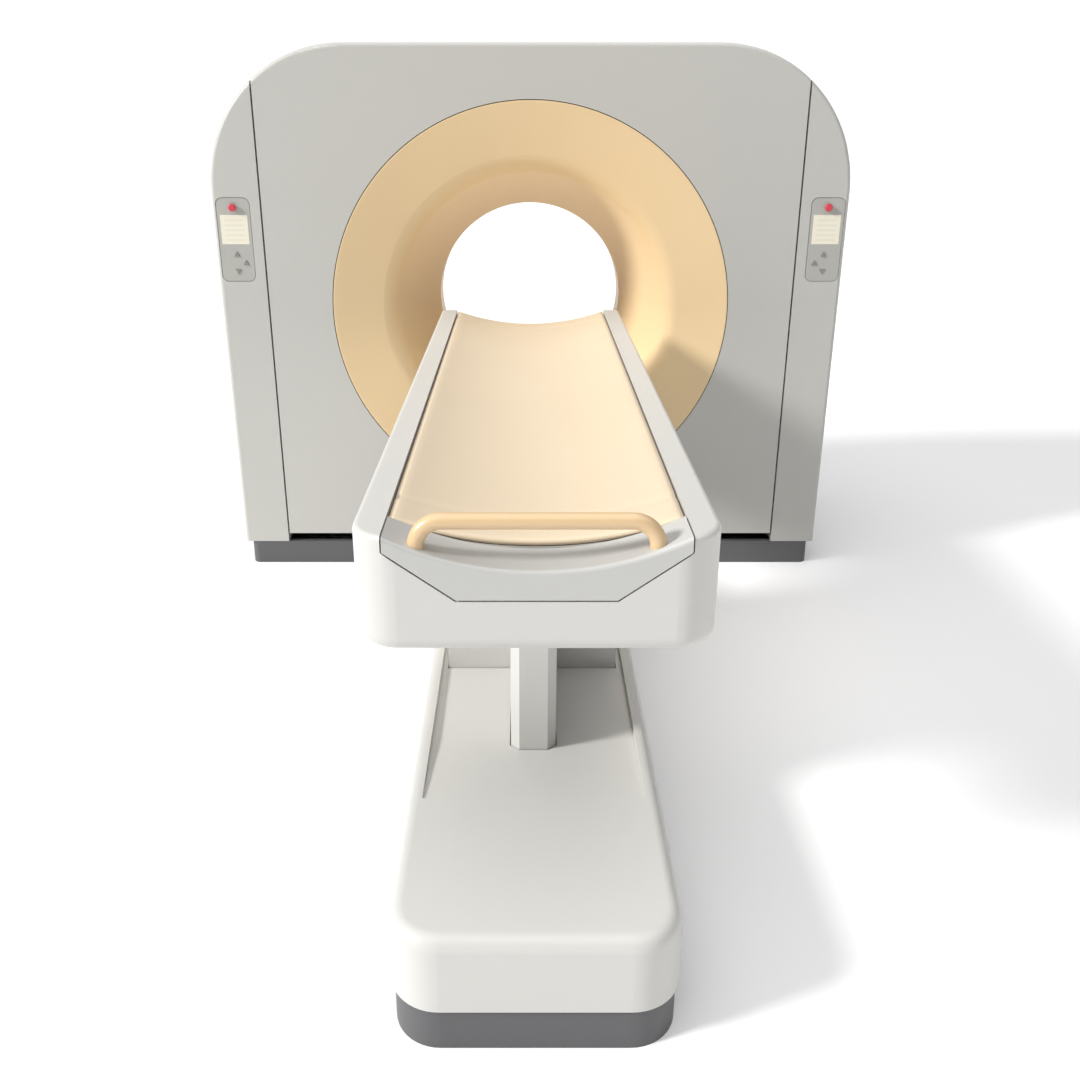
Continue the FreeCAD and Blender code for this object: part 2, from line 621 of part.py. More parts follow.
# ---------------------------------------------------------------- pedestal and column
def column_block(grow, z0, z1):
    """The column's plan, a broad box with a chamfered nose in front, grown outwards."""
    half, nose = COLUMN_HALF_W + grow, NOSE_HALF_W + grow
    near, far, tip = COLUMN_NEAR - grow, COLUMN_FAR + grow, NOSE_TIP - grow
    c = NOSE_CHAMFER + grow * 0.6
    right = [(nose - c, tip), (nose, tip + c), (nose, near), (half, near), (half, far)]
    left = [(-x, y) for x, y in reversed(right)]
    return prism_z(right + left, z0, z1)


def column_tube(grow, z0, z1):
    return column_block(grow, z0, z1).cut(column_block(grow - COLUMN_WALL, z0 - 1, z1 + 1))


def make_pedestal():
    s = PLINTH_STEP
    near, far = PEDESTAL_NEAR + s, PEDESTAL_FAR - s
    half = PEDESTAL_HALF_W - s
    base = rounded_block(half, near, far, 0, PEDESTAL_PLINTH_H, PEDESTAL_CORNER_R - s)
    wall = 12.0
    inner = rounded_block(half - wall, near + wall, far - wall, FLOOR_PLATE_T, PEDESTAL_PLINTH_H + 1,
                          PEDESTAL_CORNER_R - s - wall)
    base = base.cut(inner)
    for x in (-PED_ANCHOR_X, PED_ANCHOR_X):
        for y in (PED_ANCHOR_NEAR, PED_ANCHOR_FAR):
            base = base.cut(rod_z(ANCHOR_HOLE_R, -1, FLOOR_PLATE_T + 1, x, y))
    save("pedestal_base", base)

    z0 = PEDESTAL_PLINTH_H + SEAT_GAP
    outer = rounded_block(PEDESTAL_HALF_W, PEDESTAL_NEAR, PEDESTAL_FAR, z0, PEDESTAL_H, PEDESTAL_CORNER_R)
    outer = outer.makeFillet(PEDESTAL_EDGE_R, edges_at(outer, lambda p: p.z > PEDESTAL_H - 0.01))
    t = PEDESTAL_SKIN
    cavity = rounded_block(PEDESTAL_HALF_W - t, PEDESTAL_NEAR + t, PEDESTAL_FAR - t, z0 - 1,
                           PEDESTAL_H - t, PEDESTAL_CORNER_R - t)
    cavity = cavity.makeFillet(PEDESTAL_EDGE_R - t, edges_at(cavity, lambda p: p.z > PEDESTAL_H - t - 0.01))
    cavity = cavity.cut(tray(t))
    cover = outer.cut(cavity).cut(tray(0.0)).cut(column_block(3.0, 0, PEDESTAL_H + 1))
    save("pedestal_cover", cover)


def tray(grow):
    """The shallow tray in the pedestal's top, with a short ramp at its near end."""
    z, top = TRAY_Z - grow, PEDESTAL_H + 1 + grow
    near, far = TRAY_NEAR - grow, PEDESTAL_FAR - PEDESTAL_EDGE_R - 20 + grow
    ramp = 240.0
    half = TRAY_HALF_W + grow
    return prism_x([(near, top), (near, PEDESTAL_H - 4 - grow), (near + ramp, z), (far, z), (far, top)],
                   -half, half)


def make_column():
    guide_top = TRAY_Z - PEDESTAL_SKIN - SEAT_GAP
    save("column_guide", column_tube(SLIDE_GAP + COLUMN_WALL, FLOOR_PLATE_T, guide_top))
    save("column_middle", column_tube(0.0, STAGE_Z0, STAGE_Z1))
    save("column_top", column_tube(-COLUMN_WALL - SLIDE_GAP, TOP_STAGE_Z0, BED_Z))
    y = (COLUMN_NEAR + COLUMN_FAR) / 2
    radii = (SPINDLE_R, SPINDLE_R - 8, SPINDLE_R - 15)
    outer = rod_z(radii[0], FLOOR_PLATE_T, guide_top, 0, y)
    middle = rod_z(radii[1], STAGE_Z0, STAGE_Z1, 0, y)
    tall = (FLOOR_PLATE_T, BED_Z, 0, y)
    save("spindle_outer", outer.cut(rod_z(radii[1] + RUN_GAP, *tall)))
    save("spindle_middle", middle.cut(rod_z(radii[2] + RUN_GAP, *tall)))
    save("spindle_top", rod_z(radii[2], TOP_STAGE_Z0, BED_Z, 0, y))


def make_power_unit():
    """Lift motor and gearbox on the pedestal floor, in front of the column's nose."""
    y = NOSE_TIP - 180
    body = box(-110, 110, y - 70, y + 70, FLOOR_PLATE_T, FLOOR_PLATE_T + 110)
    body = body.makeFillet(10.0, upright_edges(body))
    motor = rod_x(48.0, -200, -110, y, FLOOR_PLATE_T + 60)
    shaft = rod_y(12.0, y + 70, NOSE_TIP - COLUMN_WALL - SLIDE_GAP - COLUMN_WALL, 0, FLOOR_PLATE_T + 60)
    save("lift_power_unit", body.fuse(motor).fuse(shaft))


# ---------------------------------------------------------------- table body
def table_block(inset):
    """The table body's outer form, rounded below, at its near corners and along its top edges."""
    half, near = TABLE_HALF_W - inset, TABLE_NEAR + inset
    bottom, top = TABLE_BOTTOM + inset, TABLE_TOP + inset
    block = box(-half, half, near, TABLE_FAR, bottom, top)
    corners = [e for e in upright_edges(block) if e.Vertexes[0].Point.y < near + 1]
    block = block.makeFillet(TABLE_CORNER_R - inset, corners)

    def round_at(shape, z, r):
        rim = edges_at(shape, lambda p: abs(p.z - z) < 0.01)
        rim = [e for e in rim if any(v.Point.y < TABLE_FAR - 1 for v in e.Vertexes)]
        return shape.makeFillet(r, rim)

    block = round_at(block, bottom, TABLE_LOWER_R - inset)
    return block if inset else round_at(block, top, TABLE_UPPER_R)


def cradle_block(grow, y0, y1, top):
    """The cradle's section: upright shoulders, then sides that slope in to a flat base."""
    slope = math.atan2(CRADLE_SHOULDER_Z - CRADLE_BASE_Z, CRADLE_HALF_W - CRADLE_BASE_HALF_W)
    shoulder_z = CRADLE_SHOULDER_Z - grow * (1 - math.sin(slope)) / math.cos(slope)
    base_half = CRADLE_BASE_HALF_W + grow * (1 - math.cos(slope)) / math.sin(slope)
    half, base_z = CRADLE_HALF_W + grow, CRADLE_BASE_Z - grow
    right = [(base_half, base_z), (half, shoulder_z), (half, top)]
    left = [(-x, z) for x, z in reversed(right)]
    return prism_y(right + left, y0, y1)


def make_table_cover():
    over = TABLE_TOP + 10
    channel = cradle_block(CRADLE_SEAM, TABLE_NEAR - 1, TABLE_FAR + 1, over)
    lining = cradle_block(CRADLE_SEAM + SKIN, TABLE_NEAR - 1, TABLE_FAR + 1, over)
    slab = box(-TABLE_HALF_W, TABLE_HALF_W, TABLE_NEAR, TABLE_FAR - SKIN, TABLE_BOTTOM, TABLE_TOP - SKIN)
    cavity = table_block(SKIN).common(slab).cut(lining)
    slot = box(-118, 118, TABLE_NEAR + 30, TABLE_FAR + 1, CRADLE_BASE_Z - 20, CRADLE_BASE_Z)
    cover = table_block(0).cut(channel).cut(cavity).cut(slot)
    save("table_cover", cover.cut(column_block(-COLUMN_WALL, TABLE_BOTTOM - 1, BED_Z)))


def make_table_frame():
    """Base plate over the column, two long beams and cross members, and the cradle's rails."""
    z1 = BED_Z + BED_PLATE_T
    frame = box(-240, 240, NOSE_TIP - 10, COLUMN_FAR + 10, BED_Z, z1)
    beam_near, beam_far = TABLE_NEAR + 60, TABLE_FAR - 30
    for x in (-RAIL_X, RAIL_X):
        beam = box(x - 25, x + 25, beam_near, beam_far, z1, RAIL_Z0)
        core = box(x - 20, x + 20, beam_near - 1, beam_far + 1, z1 + 5, RAIL_Z0 - 5)
        frame = frame.fuse(beam.cut(core))
    members = 6
    for i in range(members):
        y = beam_near + 20 + (beam_far - beam_near - 60) * i / (members - 1)
        frame = frame.fuse(box(-RAIL_X + 25, RAIL_X - 25, y, y + 20, z1, RAIL_Z0 - 10))
    save("table_frame", frame)
    half = RAIL_W / 2
    rails = [box(x - half, x + half, beam_near, beam_far, RAIL_Z0, RAIL_Z1) for x in (-RAIL_X, RAIL_X)]
    save("cradle_rails", Part.makeCompound(rails))


def make_cradle_motor():
    y = COLUMN_FAR - 80
    z = BED_Z + BED_PLATE_T
    body = box(125, 165, y - 40, y + 40, z, z + 62)
    body = body.fuse(rod_x(26.0, 165, 232, y, z + 30))
    save("cradle_motor", body)


# ---------------------------------------------------------------- cradle
def dish(sag, extra):
    """A rod along the cradle whose underside is a dish between the cradle's top edges."""
    r = (CRADLE_HALF_W ** 2 + sag ** 2) / (2 * sag)
    return rod_y(r + extra, TABLE_NEAR - 10, TABLE_FAR + 10, 0, TABLE_TOP - sag + r)


def make_cradle():
    body = cradle_block(0.0, BLOCK_Y1, CRADLE_FAR, TABLE_TOP)
    save("cradle_board", body.cut(dish(DISH_SAG, PAD_T)))
    save("mattress_pad", body.common(dish(DISH_SAG, PAD_T)).cut(dish(DISH_SAG, 0)))

    end = cradle_block(0.0, TABLE_NEAR, BLOCK_Y1, TABLE_TOP).cut(dish(END_BLOCK_SAG, 0))
    front_top = edges_at(end, lambda p: abs(p.y - TABLE_NEAR) < 0.01 and p.z > TABLE_TOP - 1)
    end = end.makeFillet(END_BLOCK_EDGE_R, [e for e in front_top if e.Length > CRADLE_HALF_W])
    save("cradle_end_block", end)
    make_handle(end)
    make_carriages()


def make_handle(end):
    """Tube handle with two rounded bends, standing on the end block."""
    y = TABLE_NEAR + HANDLE_SET_BACK
    foot_z = TABLE_TOP - END_BLOCK_SAG + 15
    h, b = HANDLE_HALF_SPAN, HANDLE_BEND_R
    diag = b * math.sqrt(0.5)

    def at(x, z):
        return Vector(x, y, z)

    low = HANDLE_Z - b
    path = Part.Wire([
        Part.LineSegment(at(-h, foot_z), at(-h, low)).toShape(),
        Part.Arc(at(-h, low), at(-h + b - diag, low + diag), at(-h + b, HANDLE_Z)).toShape(),
        Part.LineSegment(at(-h + b, HANDLE_Z), at(h - b, HANDLE_Z)).toShape(),
        Part.Arc(at(h - b, HANDLE_Z), at(h - b + diag, low + diag), at(h, low)).toShape(),
        Part.LineSegment(at(h, low), at(h, foot_z)).toShape(),
    ])
    ring = Part.Wire([Part.Circle(at(-h, foot_z), Vector(0, 0, 1), HANDLE_TUBE_R).toShape()])
    tube = path.makePipeShell([ring], True, False, 2)
    save("tube_handle", tube.cut(end))


def make_carriages():
    """Four carriages under the cradle, each straddling a rail."""
    blocks = []
    half = RAIL_W / 2 + SLIDE_GAP
    far_y = TABLE_FAR - SKIN - CARRIAGE_STOP - CRADLE_STROKE - CARRIAGE_L
    for x in (-RAIL_X, RAIL_X):
        for y in (TABLE_NEAR + 120, far_y):
            block = box(x - 24, x + 24, y, y + CARRIAGE_L, RAIL_Z0 + 4, CRADLE_BASE_Z)
            blocks.append(block.cut(box(x - half, x + half, y - 1, y + CARRIAGE_L + 1,
                                        RAIL_Z0, RAIL_Z1 + SLIDE_GAP)))
    save("cradle_carriages", Part.makeCompound(blocks))


# ---------------------------------------------------------------- build
make_centre_covers()
for word, side in (("left", -1), ("right", 1)):
    make_pillar_cover(f"pillar_cover_{word}", side)
    make_panel(word, side)
make_funnel("front_funnel", -1)
make_funnel("rear_funnel", 1)
save("bore_window", ring_y(BORE_R, BORE_R + 4, -WINDOW_HALF, WINDOW_HALF))
make_base_frame()
make_gantry_plinth()
make_trunnion_bearings()
make_tilt_gearmotor()
make_tilt_frame()
make_trunnions()
make_main_bearing()
make_slip_ring()
make_brush_block()
make_rotor_drive()
make_rotor_ring()
make_xray_tube()
make_rotor_packs()
make_detector()
make_pedestal()
make_column()
make_power_unit()
make_table_cover()
make_table_frame()
make_cradle_motor()
make_cradle()
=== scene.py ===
# %% [markdown]
# # Finishing a CT scanner
#
# A CT scanner is two machines on one floor: a ring-shaped gantry that holds the X-ray tube, and a
# table that lifts a patient and slides them through the ring. The hard parts came from a CAD model
# that is already the right size, so nothing here moves them. This notebook gives every part its
# finish, models the soft pad and the seals that a CAD model leaves plain, and lights the machine.

# %% Load the scanner's frame
import bmesh
import bpy
import json
import math
from mathutils import Matrix, Vector


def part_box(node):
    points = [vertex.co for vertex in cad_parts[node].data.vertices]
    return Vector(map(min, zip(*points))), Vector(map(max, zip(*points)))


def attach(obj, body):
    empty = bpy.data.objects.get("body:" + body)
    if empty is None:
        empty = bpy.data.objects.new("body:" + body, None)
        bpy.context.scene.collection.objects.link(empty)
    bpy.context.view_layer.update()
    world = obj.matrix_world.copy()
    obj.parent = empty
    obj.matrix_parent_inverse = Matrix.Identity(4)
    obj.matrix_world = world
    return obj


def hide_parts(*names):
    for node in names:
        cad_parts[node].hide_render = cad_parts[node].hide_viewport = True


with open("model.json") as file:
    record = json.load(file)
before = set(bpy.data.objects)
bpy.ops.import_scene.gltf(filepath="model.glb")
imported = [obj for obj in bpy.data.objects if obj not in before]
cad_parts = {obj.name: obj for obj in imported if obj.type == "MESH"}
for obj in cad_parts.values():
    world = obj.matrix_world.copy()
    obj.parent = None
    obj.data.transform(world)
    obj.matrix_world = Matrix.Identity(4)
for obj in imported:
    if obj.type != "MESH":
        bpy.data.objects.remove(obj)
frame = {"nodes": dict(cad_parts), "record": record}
nodes = frame["nodes"]
slot_of = {part["node"]: part["material_slot"] for part in frame["record"]["subparts"]}
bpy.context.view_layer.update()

# %% [markdown]
# ## Places, read from the frame
#
# A piece made here has to sit where the CAD parts are. Typing a place in twice would let the two
# drift apart, so the heights and edges below are all read from the boxes of the CAD nodes.

# %% Read the places that the new pieces need
pad_low, pad_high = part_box("mattress_pad")
funnel_low, funnel_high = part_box("front_funnel")
bore_low, bore_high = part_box("bore_window")

axis_z = (bore_low.z + bore_high.z) / 2
front_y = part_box("front_cover")[0].y
rear_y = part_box("rear_cover")[1].y
print("bore axis at", round(axis_z, 4), "front face at", round(front_y, 4))

# %% [markdown]
# ## Wires that can be added up
#
# A finish is a tree of shader nodes. Building one by hand is slow to read: two lines to make each
# node and one for each link. A small class that wraps an output socket and overloads the
# arithmetic operators lets a pattern be written as an expression, such as `1 - 0.3 * grain`.

# %% Wrap a socket so that sums read as sums
class Wire:
    """An output socket of a finish. Arithmetic on it adds Math nodes."""

    def __init__(self, finish, socket):
        self.finish = finish
        self.socket = socket

    def math(self, operation, *values):
        settings = {"operation": operation}
        return self.finish.node("ShaderNodeMath", settings, dict(enumerate(values)))

    def __add__(self, other):
        return self.math("ADD", self, other)

    def __radd__(self, other):
        return self.math("ADD", other, self)

    def __sub__(self, other):
        return self.math("SUBTRACT", self, other)

    def __rsub__(self, other):
        return self.math("SUBTRACT", other, self)

    def __mul__(self, other):
        return self.math("MULTIPLY", self, other)

    def __rmul__(self, other):
        return self.math("MULTIPLY", other, self)

    def __gt__(self, other):
        return self.math("GREATER_THAN", self, other)

    def __lt__(self, other):
        return self.math("LESS_THAN", self, other)

    def __abs__(self):
        return self.math("ABSOLUTE", self)


# %% A finish: one material, and the one way to add a node to it
class Finish:
    """A material under construction."""

    def __init__(self, name):
        self.material = bpy.data.materials.new(name)
        self.material.use_nodes = True
        self.tree = self.material.node_tree
        self.tree.nodes.clear()

    def node(self, kind, settings=None, inputs=None, output=0):
        """Add a node. Settings go first, because some nodes change their sockets with them."""
        node = self.tree.nodes.new(kind)
        for key, value in (settings or {}).items():
            setattr(node, key, value)
        for key, value in (inputs or {}).items():
            socket = node.inputs[key]
            if isinstance(value, Wire):
                self.tree.links.new(value.socket, socket)
            else:
                socket.default_value = value
        return Wire(self, node.outputs[output])

    def place(self):
        return self.node("ShaderNodeTexCoord", output="Object")

    def axes(self):
        """The place's x, y and z as three separate wires."""
        split = self.node("ShaderNodeSeparateXYZ", inputs={"Vector": self.place()})
        return tuple(Wire(self, output) for output in split.socket.node.outputs)

    def noise(self, scale, detail=2.0, stretch=(1.0, 1.0, 1.0)):
        """Soft random pattern with features about 1/scale metres wide."""
        at = self.node("ShaderNodeMapping", inputs={"Vector": self.place(), "Scale": stretch})
        inputs = {"Vector": at, "Scale": scale, "Detail": detail}
        return self.node("ShaderNodeTexNoise", inputs=inputs)

    def mix(self, amount, first, second):
        """A colour between two colours."""
        settings = {"data_type": "RGBA", "clamp_factor": True}
        inputs = {0: amount, 6: opaque(first), 7: opaque(second)}
        return self.node("ShaderNodeMix", settings, inputs, output=2)

    def bump(self, height, distance, strength=1.0):
        return self.node("ShaderNodeBump", inputs={"Height": height, "Distance": distance,
                                                   "Strength": strength})

    def finish(self, **surface):
        """Close the tree with a Principled shader. Names use _ for a space."""
        inputs = {key.replace("_", " ").title().replace("Ior", "IOR"): value
                  for key, value in surface.items()}
        shader = self.node("ShaderNodeBsdfPrincipled", inputs=inputs)
        self.node_output(shader)
        return self.material

    def node_output(self, shader):
        output = self.tree.nodes.new("ShaderNodeOutputMaterial")
        self.tree.links.new(shader.socket, output.inputs["Surface"])


def opaque(color):
    """A colour triple gains an alpha of one. A wire passes as it is."""
    return color if isinstance(color, Wire) or len(color) == 4 else (*color, 1.0)


def toned(color, factor):
    return tuple(min(1.0, channel * factor) for channel in color)


# %% [markdown]
# ## Moulded covers
#
# The covers are thick moulded plastic with a sprayed coat. Close up, the coat has a faint orange
# peel and a fine grain. From a step away, only a slow change in tone and gloss shows. Two noises do
# both: a large one that shifts colour and roughness a little, and a fine one that feeds the bump.

# %% Sprayed moulded plastic
def moulded(name, color, roughness, peel=0.00006, grain=900.0, drift=0.025, coat=0.0):
    """Smooth moulded plastic. Peel is the depth of its grain in metres."""
    paint = Finish(name)
    cloud = paint.noise(1.7, 3.0)
    shade = paint.mix(cloud, toned(color, 1 - drift), toned(color, 1 + drift))
    speckle = paint.noise(grain, 2.0)
    ripple = paint.noise(60.0, 2.0)
    return paint.finish(
        base_color=shade,
        roughness=roughness - 0.04 + 0.08 * cloud + 0.05 * (ripple - 0.5),
        normal=paint.bump(speckle + 0.6 * ripple, peel * 4, 0.35),
        coat_weight=coat,
        coat_roughness=0.25,
    )


# %% [markdown]
# ## Vinyl on the pad
#
# The pad is foam in a welded vinyl skin, which is wiped clean between patients. Vinyl has a leather
# grain about a millimetre across: small cells with shallow valleys between them. A Voronoi pattern
# gives the cells, and its distance-to-edge output is low in the valleys, which suits a bump.

# %% Grained vinyl
def vinyl(name, color):
    skin = Finish(name)
    place = skin.place()
    wobble = skin.noise(420.0, 1.0)
    cells = skin.node("ShaderNodeTexVoronoi", {"feature": "DISTANCE_TO_EDGE"},
                      {"Vector": place, "Scale": 620.0, "Randomness": 0.9})
    cloud = skin.noise(2.4, 4.0)
    shade = skin.mix(cloud, toned(color, 0.965), toned(color, 1.03))
    return skin.finish(
        base_color=shade,
        roughness=0.47 + 0.1 * cloud,
        normal=skin.bump(cells + 0.3 * wobble, 0.0004, 0.4),
        sheen_weight=0.08,
    )


# %% [markdown]
# ## Painted and bare metal
#
# Hidden parts show when the gantry tilts or the cradle runs out, so they get real finishes too.
# Enamel is smooth with a slight mottle. Ground steel is brushed along one direction, which a noise
# stretched along an axis gives. Cast aluminium is grainy and dull.

# %% Enamel, ground steel and castings
def enamel(name, color, roughness=0.42):
    paint = Finish(name)
    cloud = paint.noise(9.0, 4.0)
    chips = paint.noise(260.0, 3.0)
    shade = paint.mix(cloud, toned(color, 0.9), toned(color, 1.08))
    return paint.finish(
        base_color=shade,
        roughness=roughness + 0.14 * (chips - 0.5),
        normal=paint.bump(chips, 0.0002, 0.3),
        coat_weight=0.15,
        coat_roughness=0.3,
    )


def ground_metal(name, color, roughness=0.3, stretch=(12.0, 12.0, 0.6)):
    metal = Finish(name)
    lines = metal.noise(160.0, 3.0, stretch)
    cloud = metal.noise(6.0, 2.0)
    shade = metal.mix(lines, toned(color, 0.86), toned(color, 1.08))
    return metal.finish(
        base_color=shade,
        metallic=1.0,
        roughness=roughness + 0.12 * lines + 0.06 * cloud,
        normal=metal.bump(lines, 0.00008, 0.4),
    )


def cast_metal(name, color, metallic=0.9, roughness=0.55):
    metal = Finish(name)
    sand = metal.noise(700.0, 3.0)
    cloud = metal.noise(11.0, 4.0)
    shade = metal.mix(cloud, toned(color, 0.88), toned(color, 1.06))
    return metal.finish(
        base_color=shade,
        metallic=metallic,
        roughness=roughness + 0.12 * sand,
        normal=metal.bump(sand, 0.0004, 0.5),
    )


# %% [markdown]
# ## The operator display
#
# The display on each pillar is a pale pane. The real one lists numbers and settings. A few plain
# bars stand for rows on a screen without saying anything: a row is where the height, taken as a
# repeating fraction, falls in a band, and the bars stop short of the pane's edges.

# %% Pale display pane with plain rows
ROW_HEIGHT = 0.017
PANE_MARGIN = 0.012      # bare strip above and below the rows


def display(name, pane_nodes):
    low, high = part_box(pane_nodes[0])
    centre_x = abs(low.x + high.x) / 2
    half = (high.x - low.x) / 2
    pane = Finish(name)
    x, _, z = pane.axes()
    across = abs(abs(x) - centre_x)
    count = (z - low.z) * (1 / ROW_HEIGHT)
    in_row = (count.math("FRACT", count) > 0.62) * (across < half * 0.7)
    inside = in_row * (z > low.z + PANE_MARGIN) * (z < high.z - PANE_MARGIN)
    shade = pane.mix(inside * 0.3, (0.79, 0.75, 0.61), (0.56, 0.56, 0.50))
    return pane.finish(base_color=shade, roughness=0.18, coat_weight=0.6, coat_roughness=0.08)


# %% [markdown]
# ## One finish for each slot
#
# The record names a material slot for every CAD node. One table from slot to finish covers them
# all, and a loop puts each finish on its nodes, so no node keeps its plain import colour.

# %% Colours, in linear light
GANTRY_GREY = (0.50, 0.495, 0.465)
TABLE_WHITE = (0.595, 0.59, 0.565)
BEIGE = (0.77, 0.58, 0.335)
PAD_BEIGE = (0.70, 0.58, 0.42)
TAN = (0.68, 0.49, 0.28)
PLINTH = (0.10, 0.10, 0.105)

finishes = {
    "gantry_cover": moulded("gantry_cover_spray", GANTRY_GREY, 0.46),
    "plinth_grey": moulded("plinth_paint", PLINTH, 0.5, peel=0.00012, grain=500.0),
    "funnel_beige": moulded("funnel_spray", BEIGE, 0.48),
    "window_film": moulded("window_film", toned(BEIGE, 0.96), 0.4, coat=0.2),
    "table_white": moulded("table_spray", TABLE_WHITE, 0.38, coat=0.1),
    "end_block_grey": moulded("end_block_spray", (0.51, 0.51, 0.495), 0.36, coat=0.1),
    "cradle_skin": moulded("cradle_skin", (0.45, 0.44, 0.42), 0.42),
    "pad_vinyl": vinyl("pad_vinyl", PAD_BEIGE),
    "handle_tan": moulded("handle_sleeve", TAN, 0.34, coat=0.25),
    "panel_grey": moulded("panel_film", (0.42, 0.42, 0.39), 0.5, grain=1400.0),
    "display_pane": display("display_pane", ["display_right", "display_left"]),
    "button_red": moulded("button_red", (0.62, 0.03, 0.06), 0.25, coat=0.4),
    "key_grey": moulded("key_rubber", (0.25, 0.24, 0.22), 0.6),
    "frame_steel": enamel("frame_enamel", (0.10, 0.12, 0.14)),
    "motor_enamel": enamel("motor_enamel", (0.035, 0.04, 0.045), 0.38),
    "bearing_steel": ground_metal("ground_steel", (0.56, 0.56, 0.57)),
    "cast_aluminium": cast_metal("cast_aluminium", (0.60, 0.61, 0.63)),
    "slip_brass": ground_metal("turned_brass", (0.72, 0.50, 0.20), 0.26),
    "insulator": moulded("insulator", (0.03, 0.03, 0.033), 0.55),
    "lead_grey": cast_metal("lead_alloy", (0.20, 0.20, 0.215), 0.6, 0.5),
    "tube_housing": enamel("housing_enamel", (0.50, 0.52, 0.53), 0.36),
    "belt_rubber": moulded("belt_rubber", (0.02, 0.02, 0.02), 0.75),
}

# %% Put each finish on its CAD nodes
for name, node in nodes.items():
    node.data.materials.clear()
    node.data.materials.append(finishes[slot_of[name]])
print("finishes", len(finishes), "on", len(nodes), "nodes")


# %% [markdown]
# ## A helper for new pieces
#
# Every new piece ends the same way: its bmesh becomes a mesh, it gets a finish, and it rides on
# the body that carries it. Its place stays in its mesh, so patterns on it keep the right scale.

# %% Turn a bmesh into a piece that rides on a body
def make_piece(name, bm, body, slot):
    mesh = bpy.data.meshes.new(name)
    bm.to_mesh(mesh)
    bm.free()
    mesh.materials.append(finishes[slot])
    mesh.shade_smooth()
    piece = bpy.data.objects.new(name, mesh)
    bpy.context.scene.collection.objects.link(piece)
    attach(piece, body)
    print(name, "faces", len(mesh.polygons))
    return piece


# %% [markdown]
# ## The mattress pad
#
# The pad lies in the cradle's dish. It starts as a grid, because a grid bends evenly. Its width is
# bent to the dish, it is thickened downwards, and the rim is pulled in a little, as a skin
# stretched over foam does. Welded seams cross it near both ends: the rows of vertices there sink.

# %% Work out the dish and the pad's size
SAG = 0.045              # how far the dish's middle lies below its edges
EDGE = 0.0012            # how far the skin stays inside the CAD pad

pad_half = (pad_high.x - pad_low.x) / 2
pad_length = pad_high.y - pad_low.y
dish_low_z = pad_high.z - SAG
dish_radius = (pad_half ** 2 + SAG ** 2) / (2 * SAG)
print("pad", round(2 * pad_half, 3), "by", round(pad_length, 3), "sag", SAG)


def dish_height(x):
    """Height of the dish's surface at a distance x from its middle."""
    return dish_low_z + dish_radius - math.sqrt(dish_radius ** 2 - x ** 2)


# %% Model the pad
PAD_THICKNESS = 0.008
PAD_SETTLE = 0.0004      # the foam's own slight sink below the CAD pad's top
SEAM_ROWS = (0.055, 0.945)   # shares of the length
SEAM_DEPTH = 0.0022
SEAM_WIDTH = 0.010
ROLL_DEPTH = 0.0035      # how far the rim is pulled down
ROLL_WIDTH = 0.006


def model_pad():
    bm = bmesh.new()
    across, along = 48, 200
    bmesh.ops.create_grid(bm, x_segments=across, y_segments=along, size=0.5)
    width = 2 * (pad_half - EDGE)
    length = pad_length - 2 * EDGE
    centre = Vector((0, (pad_low.y + pad_high.y) / 2, 0))
    bmesh.ops.scale(bm, vec=(width, length, 1), verts=bm.verts)
    bmesh.ops.translate(bm, vec=centre, verts=bm.verts)
    for vertex in bm.verts:
        x, y, _ = vertex.co
        share = (y - pad_low.y) / pad_length
        to_rim = min(pad_half - EDGE - abs(x), y - pad_low.y - EDGE, pad_high.y - EDGE - y)
        roll = ROLL_DEPTH * math.exp(-max(0.0, to_rim) / ROLL_WIDTH)
        seam = sum(math.exp(-((share - row) * pad_length / SEAM_WIDTH) ** 2) for row in SEAM_ROWS)
        vertex.co.z = dish_height(x) - PAD_SETTLE - roll - SEAM_DEPTH * seam
    top = bm.faces[:]
    bmesh.ops.recalc_face_normals(bm, faces=top)
    if top[0].normal.z < 0:
        bmesh.ops.reverse_faces(bm, faces=top)
    bmesh.ops.solidify(bm, geom=bm.faces[:], thickness=PAD_THICKNESS)
    bmesh.ops.recalc_face_normals(bm, faces=bm.faces)
    return make_piece("cradle_mattress", bm, "cradle", "pad_vinyl")


mattress = model_pad()
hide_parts("mattress_pad")


# %% [markdown]
# ## Seals in the funnel's rim
#
# The funnel is a separate moulding, and a soft black seal closes the joint where it meets the flat
# cover. That seal draws the fine dark circle round the mouth. It is a small round section spun
# about the bore's axis.

# %% Spin a seal round each mouth
SEAL_R = 0.0014
FLANGE_LAP = 0.020       # the funnel's flange under the cover
GROOVE_HALF = 0.0015     # half the open joint round the mouth
GROOVE_MIDDLE = (funnel_high.x - funnel_low.x) / 2 - FLANGE_LAP + GROOVE_HALF
SEAL_SET_BACK = 0.002


def rim_seal(name, y):
    bm = bmesh.new()
    section = bmesh.ops.create_circle(bm, segments=10, radius=SEAL_R)
    stand = Matrix.Translation((GROOVE_MIDDLE, y, axis_z))
    bmesh.ops.transform(bm, matrix=stand, verts=section["verts"])
    bmesh.ops.spin(bm, geom=bm.edges[:], cent=(0, y, axis_z), axis=(0, 1, 0),
                   angle=2 * math.pi, steps=180, use_merge=True)
    bmesh.ops.remove_doubles(bm, verts=bm.verts, dist=1e-5)
    bmesh.ops.recalc_face_normals(bm, faces=bm.faces)
    return make_piece(name, bm, "gantry", "belt_rubber")


rim_seal("front_rim_seal", front_y + SEAL_SET_BACK)
rim_seal("rear_rim_seal", rear_y - SEAL_SET_BACK)

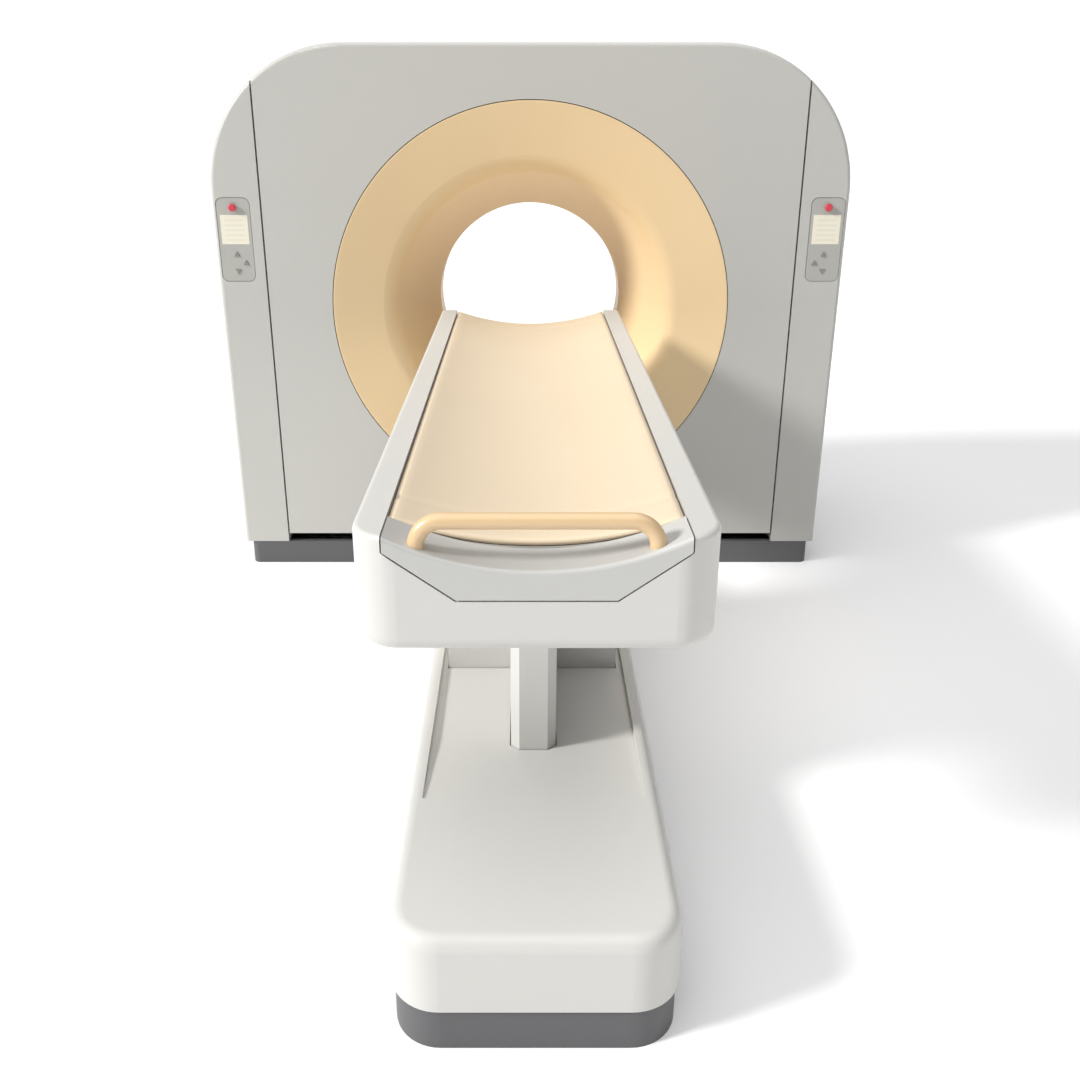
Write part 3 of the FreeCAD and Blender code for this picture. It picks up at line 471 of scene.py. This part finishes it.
# %% [markdown]
# ## Floor and light
#
# The machine stands on a plain white floor in a white studio. Walls as bright as they look would
# fill every shadow, so the world is white where the camera sees it and dim where it lights. The
# key is one large soft lamp, low and far to the left in front: it makes the left sides brightest,
# leaves the left of the bore's throat dark, and throws the table's shadow onto the right of the
# gantry. A wide lamp overhead lifts everything that faces up.

# %% Floor
def model_floor():
    bm = bmesh.new()
    bmesh.ops.create_grid(bm, x_segments=2, y_segments=2, size=60.0)
    mesh = bpy.data.meshes.new("studio_floor")
    bm.to_mesh(mesh)
    bm.free()
    floor = bpy.data.objects.new("studio_floor", mesh)
    bpy.context.scene.collection.objects.link(floor)
    paint = Finish("studio_floor_paint")
    cloud = paint.noise(0.5, 2.0)
    mesh.materials.append(paint.finish(base_color=(0.95, 0.95, 0.955, 1.0),
                                       roughness=0.6 + 0.05 * cloud,
                                       specular_ior_level=0.0))


model_floor()


# %% Lamps
def lamp(name, travel, strength, spread, color=(1.0, 1.0, 1.0)):
    """A lamp far away. Travel is the way its light goes; spread is its width in degrees."""
    data = bpy.data.lights.new(name, "SUN")
    data.energy = strength
    data.angle = math.radians(spread)
    data.color = color
    item = bpy.data.objects.new(name, data)
    item.rotation_euler = Vector(travel).to_track_quat("-Z", "Y").to_euler()
    bpy.context.scene.collection.objects.link(item)
    print(name, "strength", strength, "spread", spread)


lamp("key_lamp", (0.80, 0.27, -0.47), 3.5, 11.0, (1.0, 0.99, 0.97))
lamp("top_lamp", (0.0, 0.10, -1.0), 2.1, 75.0)


# %% White studio walls
class Surround(Finish):
    """The world's tree, built the same way as a finish."""

    def __init__(self, name):
        self.world = bpy.data.worlds.new(name)
        self.world.use_nodes = True
        self.tree = self.world.node_tree
        self.tree.nodes.clear()

    def light(self, color):
        background = self.node("ShaderNodeBackground", inputs={"Color": color, "Strength": 1.0})
        output = self.tree.nodes.new("ShaderNodeOutputWorld")
        self.tree.links.new(background.socket, output.inputs["Surface"])
        bpy.context.scene.world = self.world


studio = Surround("studio_walls")
seen = studio.node("ShaderNodeLightPath", output="Is Camera Ray")
studio.light(studio.mix(seen, (0.16, 0.16, 0.165), (1.05, 1.05, 1.05)))
bpy.context.scene.view_settings.view_transform = "Standard"

# %% [markdown]
# ## Camera
#
# The view looks along the table from a little above head height, tipped down by about twenty
# degrees, so the near end of the table is large and the gantry rises behind it.

# %% Camera
CAMERA_BACK = 3.685
CAMERA_HEIGHT = 1.6445
CAMERA_PITCH = 20.57

view = bpy.data.cameras.new("camera")
view.sensor_width = 36.0
view.lens = 34.0
view.shift_x = 0.0144
view.shift_y = -0.037
camera = bpy.data.objects.new("camera", view)
camera.location = (-0.021, front_y - CAMERA_BACK, CAMERA_HEIGHT)
camera.rotation_euler = (math.radians(90 - CAMERA_PITCH), 0.0, 0.0)
bpy.context.scene.collection.objects.link(camera)
bpy.context.scene.camera = camera
